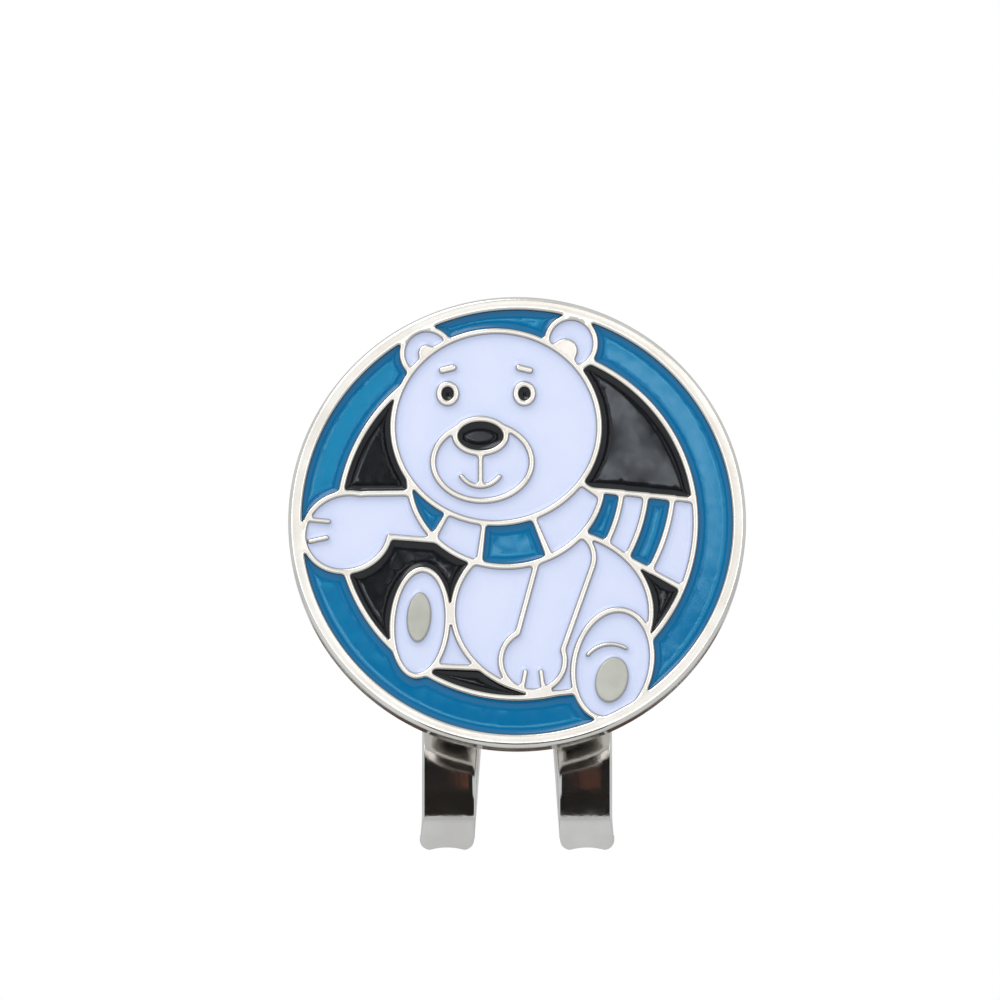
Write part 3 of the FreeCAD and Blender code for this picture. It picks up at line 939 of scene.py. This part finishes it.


# --------------------------------------------------------------------- build the object

# The nickel's colour darkens along the lines where they meet the enamel: painted shade
nickel = metal_material(
    "nickel", (0.88, 0.86, 0.82), (0.80, 0.77, 0.71), roughness=(0.12, 0.22), grain=(0.25, 0.002),
    painted_edge_shade=(0.24, 0.19, 0.14))
# A darker copy of the nickel for the marker's side wall: painted shade
shaded_nickel_side = metal_material(
    "shaded_nickel_side", (0.64, 0.60, 0.55), (0.56, 0.52, 0.47), roughness=(0.09, 0.15), grain=(0.25, 0.003))
sandblasted = metal_material(
    "sandblasted_nickel", (0.52, 0.52, 0.47), (0.46, 0.46, 0.41), roughness=(0.49, 0.61), grain=(0.08, 0.010))
spring_plate = metal_material(
    "spring_plate", (0.80, 0.78, 0.75), (0.72, 0.69, 0.66), roughness=(0.05, 0.13), grain=(0.35, 0.004))
magnet_plate = metal_material(
    "magnet_plating", (0.74, 0.73, 0.72), (0.64, 0.63, 0.63), roughness=(0.18, 0.30), grain=(0.2, 0.004))
epoxy = enamel_material(
    "clear_epoxy", (0.45, 0.38, 0.24), (0.34, 0.28, 0.17), roughness=0.25, wave_mm=0.010)
# Each enamel's second colour is darker and lies against the lines: painted shade
blue = enamel_material(
    "blue_enamel", (0.0005, 0.195, 0.435), (0.0005, 0.165, 0.375), roughness=0.13, wave_mm=0.010)
white = enamel_material(
    "white_enamel", (0.635, 0.675, 0.84), (0.53, 0.585, 0.785), roughness=0.16, wave_mm=0.010)
black = enamel_material(
    "black_enamel", (0.010, 0.011, 0.014), (0.006, 0.006, 0.008), roughness=0.13, wave_mm=0.001)
enamels = {"enamel_blue": blue, "enamel_white": white, "enamel_black": black}
slot_of = {s["node"]: s["material_slot"] for s in frame["record"]["subparts"]}

metal, top_face_count = marker_metal()
paint(metal, nickel, sandblasted, shaded_nickel_side)
fills = {node: enamel_fill(node) for node in enamel_nodes}
for node, fill in fills.items():
    paint(fill, enamels[slot_of[node]])

# The soles' pads are sandblasted instead of polished, and the side wall gets a darker copy of the nickel: painted
# shade.
soles = ("enamel_left_sole", "enamel_right_sole")
pads = [min(cell_loops[sole], key=lambda loop: np.ptp(loop[:, 0])) for sole in soles]
centres = np.array([face.center[:] for face in metal.data.polygons])[:, [0, 2]] / MM
on_pad = inside(centres, pads)
on_pad[top_face_count:] = False
on_shaded_side = np.hypot(*centres.T) > MARKER_R - SIDE_DEPTH
material_index = np.where(on_pad, 1, np.where(on_shaded_side, 2, 0))
metal.data.polygons.foreach_set("material_index", material_index.astype(np.int32))

paint(clip_plate(), spring_plate)
paint(clip_spring(), spring_plate)
paint(magnet_disc(), magnet_plate)
paint(frame["nodes"]["magnet_adhesive"], epoxy)

# ------------------------------------------------------------------- camera and lighting

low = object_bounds()[0]
FLOOR_BELOW = 0.07
FLOOR_SIZE = 4
FLOOR_COLOUR = (0.80, 0.80, 0.80)
ROOM_COLOUR = (0.93, 0.97, 1.0)
ROOM_STRENGTH = 0.72
CAMERA_DISTANCE = 0.5
CAMERA_ELEVATION = math.radians(-10)
FRAME_WIDTH = 54.6 * MM
AIM_X, AIM_Z = -0.934 * MM, 1.154 * MM
aim = Vector((AIM_X, low.y, AIM_Z))
camera = bpy.data.objects.new("camera", bpy.data.cameras.new("camera"))
bpy.context.scene.collection.objects.link(camera)
back = Vector((0, -math.cos(CAMERA_ELEVATION), math.sin(CAMERA_ELEVATION)))
camera.location = aim + back * CAMERA_DISTANCE
camera.rotation_euler = (-back).to_track_quat("-Z", "Y").to_euler()
camera.data.lens = camera.data.sensor_width * CAMERA_DISTANCE / FRAME_WIDTH
camera.data.clip_start, camera.data.clip_end = 0.01, 10
bpy.context.scene.camera = camera

bpy.context.scene.view_settings.view_transform = "Standard"


def surroundings():
    """A soft white room that the camera sees as pure white."""
    world = bpy.data.worlds.new("surroundings")
    bpy.context.scene.world = world
    world.use_nodes = True
    nodes, links = world.node_tree.nodes, world.node_tree.links
    room = nodes["Background"]
    room.inputs["Color"].default_value = (*ROOM_COLOUR, 1)
    room.inputs["Strength"].default_value = ROOM_STRENGTH
    seen = nodes.new("ShaderNodeBackground")
    seen.inputs["Color"].default_value = (1, 1, 1, 1)
    seen.inputs["Strength"].default_value = 1.0
    choose = nodes.new("ShaderNodeMixShader")
    links.new(nodes.new("ShaderNodeLightPath").outputs["Is Camera Ray"], choose.inputs[0])
    links.new(room.outputs[0], choose.inputs[1])
    links.new(seen.outputs[0], choose.inputs[2])
    links.new(choose.outputs[0], nodes["World Output"].inputs["Surface"])


def direction(azimuth, elevation):
    """Unit vector from the object towards this azimuth (0 is in front, 90 to the right) and elevation."""
    a, e = math.radians(azimuth), math.radians(elevation)
    return Vector((math.sin(a) * math.cos(e), -math.cos(a) * math.cos(e), math.sin(e)))


def stage_plane(name, centre, width, height, normal, colour):
    """A flat card or floor of the studio."""
    mesh = bpy.data.meshes.new(name)
    x, y = width / 2, height / 2
    mesh.from_pydata([(-x, -y, 0), (x, -y, 0), (x, y, 0), (-x, y, 0)], [], [(0, 1, 2, 3)])
    plane = bpy.data.objects.new(name, mesh)
    plane.location = centre
    plane.rotation_euler = Vector(normal).to_track_quat("Z", "Y").to_euler()
    bpy.context.scene.collection.objects.link(plane)
    material, _, _, shader, _ = new_material(name)
    shader.inputs["Base Color"].default_value = (*colour, 1)
    shader.inputs["Roughness"].default_value = 0.9
    paint(plane, material)
    return plane


def reflection_card(name, centre, width, height, normal, colour):
    """A card that shows only in reflections."""
    card = stage_plane(name, centre, width, height, normal, colour)
    card.visible_camera = False
    card.visible_diffuse = False
    card.visible_shadow = False


def soft_box(name, azimuth, elevation, distance, width, height, radiance, colour, lit):
    """A lamp that faces the object. It lights the pieces of the collection lit, or everything for None."""
    data = bpy.data.lights.new(name, "AREA")
    data.shape = "RECTANGLE"
    data.size, data.size_y = width, height
    data.energy = radiance * math.pi * width * height
    data.color = colour
    lamp = bpy.data.objects.new(name, data)
    lamp.location = direction(azimuth, elevation) * distance
    lamp.rotation_euler = lamp.location.to_track_quat("Z", "Y").to_euler()
    lamp.visible_camera = False
    if lit:
        lamp.light_linking.receiver_collection = lit
    bpy.context.scene.collection.objects.link(lamp)


def group(name, pieces):
    """A collection of pieces that a lamp lights."""
    collection = bpy.data.collections.new(name)
    for piece in pieces:
        collection.objects.link(piece)
    return collection


surroundings()
stage_plane("floor", (0, 0, low.z - FLOOR_BELOW), FLOOR_SIZE, FLOOR_SIZE, (0, 0, 1), FLOOR_COLOUR)

# Cards that darken parts of the reflections: azimuth, elevation, distance, width, height, colour
cards = {
    "black_card": (0, 26, 0.30, 0.30, 0.06, (0.010, 0.010, 0.010)),
    "dark_card": (0, 9, 0.31, 0.30, 0.135, (0.018, 0.014, 0.012)),
    "warm_patch": (2.2, 15, 0.295, 0.014, 0.046, (0.16, 0.062, 0.035)),
    "brown_card": (180, -4, 0.30, 0.12, 0.10, (0.10, 0.055, 0.035)),
}
for name, (azimuth, elevation, distance, width, height, colour) in cards.items():
    place = direction(azimuth, elevation) * distance
    reflection_card(name, place, width, height, -place, colour)
# A small one close below the marker's lower edge, which darkens the reflections on the tops of the tongues
reflection_card("flag", (0, -0.008, -0.0143), 0.014, 0.0026, (0, -1, 0), (0.02, 0.014, 0.010))

NEUTRAL = (1, 1, 1)
by_slot = {slot: [fills[node] for node in enamel_nodes if slot_of[node] == slot] for slot in enamels}
struck = group("struck_metal", [metal])
struck_and_white = group("struck_and_white", [metal] + by_slot["enamel_white"])
all_fills = group("all_fills", fills.values())
dark_fills = group("dark_fills", by_slot["enamel_blue"] + by_slot["enamel_black"])
blue_fills = group("blue_fills", by_slot["enamel_blue"])
black_fills = group("black_fills", by_slot["enamel_black"])

# Lamps: azimuth, elevation, distance, width, height, radiance, colour, what they light
lamps = {
    "key": (-35, 50, 0.45, 0.30, 0.22, 2.6, NEUTRAL, None),
    "front": (0, 8, 0.27, 0.26, 0.22, 1.0, NEUTRAL, struck_and_white),
    "left_strip": (-31, 15, 0.35, 0.07, 0.25, 2.0, NEUTRAL, struck_and_white),
    "right_strip": (31, 15, 0.35, 0.07, 0.25, 2.0, NEUTRAL, struck_and_white),
    "left_sheen": (-9, 14, 0.26, 0.022, 0.09, 1.0, NEUTRAL, all_fills),
    "right_sheen": (10, 14, 0.26, 0.022, 0.09, 1.0, NEUTRAL, all_fills),
    "window": (2.3, 11.2, 0.27, 0.024, 0.024, 2.6, (0.86, 0.93, 1.0), dark_fills),
    "black_window": (2.3, 11.2, 0.271, 0.024, 0.024, 1.5, (0.86, 0.93, 1.0), black_fills),
    "azure": (1.0, 12.5, 0.272, 0.08, 0.036, 2.8, (0.10, 0.82, 1.0), blue_fills),
    "glow": (9.7, 19.9, 0.265, 0.10, 0.08, 0.22, NEUTRAL, struck),
}
for name, settings in lamps.items():
    soft_box(name, *settings)
